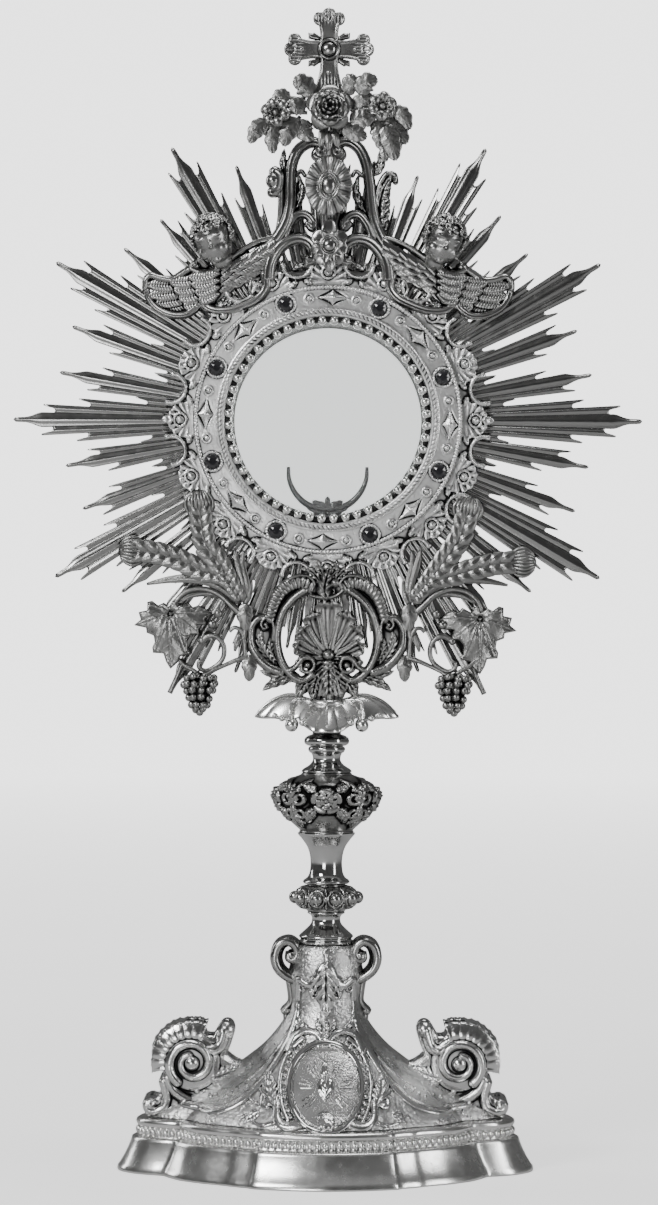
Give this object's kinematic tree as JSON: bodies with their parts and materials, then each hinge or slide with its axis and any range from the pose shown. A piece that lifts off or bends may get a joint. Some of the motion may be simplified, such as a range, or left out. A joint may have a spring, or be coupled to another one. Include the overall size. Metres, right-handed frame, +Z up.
{
  "type": "sunburst monstrance",
  "caption": "Baroque-revival silver sunburst monstrance with a glazed host chamber, rear door, crescent holder, knopped stem and lobed foot.",
  "frame": {"origin": "on the ground under the middle of the foot", "axes": "+Z up along the stem, the glazed front faces -Y, +X to the right of the front view"},
  "size_m": [0.3528, 0.1594, 0.65],
  "materials": {
    "silver": "aged silver plate, dark in the recesses",
    "bright_silver": "polished silver plate",
    "frosted_silver": "frosted silver plate",
    "black_stone": "polished, faceted",
    "clear_glass": "polished"
  },
  "bodies": {
    "monstrance": {"foot_skirt": "bright_silver", "foot_body": "silver", "foot_console_left": "silver", "foot_console_right": "silver", "foot_medallion_front": "frosted_silver", "foot_medallion_rear": "frosted_silver", "tie_rod": "silver", "tie_nut": "silver", "stem_flange": "bright_silver", "lower_knop": "silver", "stem_baluster": "bright_silver", "main_knop": "silver", "stem_neck": "bright_silver", "stem_head": "bright_silver", "leaf_collar": "frosted_silver", "shell_cartouche": "silver", "rear_bracket": "silver", "gallery_plate": "frosted_silver", "chamber_case": "silver", "front_bezel": "bright_silver", "pearl_ring": "bright_silver", "front_glass": "clear_glass", "cross": "bright_silver", "rose_bouquet": "silver", "crown_scrollwork": "silver", "oval_rosette": "silver", "lower_flower": "silver", "cherub_left": "silver", "cherub_right": "silver", "wheat_spray_left": "silver", "wheat_spray_right": "silver", "vine_spray_left": "silver", "vine_spray_right": "silver", "door_hinge_pin": "silver", "lunula_socket": "bright_silver", "gem_1": "black_stone", "gem_2": "black_stone", "gem_3": "black_stone", "gem_4": "black_stone", "gem_5": "black_stone", "gem_6": "black_stone", "gem_7": "black_stone", "gem_8": "black_stone", "ray_sector_01": "silver", "ray_sector_02": "silver", "ray_sector_03": "silver", "ray_sector_04": "silver", "ray_sector_05": "silver", "ray_sector_06": "silver", "ray_sector_07": "silver", "ray_sector_08": "silver", "ray_sector_09": "silver", "ray_sector_10": "silver", "ray_sector_11": "silver", "ray_sector_12": "silver"},
    "door": {"rear_door": "silver", "rear_glass": "clear_glass"},
    "door_knob": {"door_knob": "bright_silver"},
    "lunula": {"lunula_front": "bright_silver"},
    "lunula_clip": {"lunula_clip": "bright_silver"}
  },
  "joints": [
    {"name": "door_hinge", "type": "hinge", "parent": "monstrance", "child": "door", "pos_m": [0.067, 0.017, 0.419], "axis": [0, 0, -1], "range_deg": [0, 110]},
    {"name": "door_knob_turn", "type": "hinge", "parent": "door", "child": "door_knob", "pos_m": [-0.067, 0.017, 0.419], "axis": [0, 1, 0], "continuous": true},
    {"name": "lunula_lift", "type": "slide", "parent": "monstrance", "child": "lunula", "axis": [0, 0, 1], "range_m": [0, 0.008]},
    {"name": "lunula_clip_open", "type": "hinge", "parent": "lunula", "child": "lunula_clip", "pos_m": [0, 0.0091, 0.3698], "axis": [-1, 0, 0], "range_deg": [0, 18]}
  ]
}
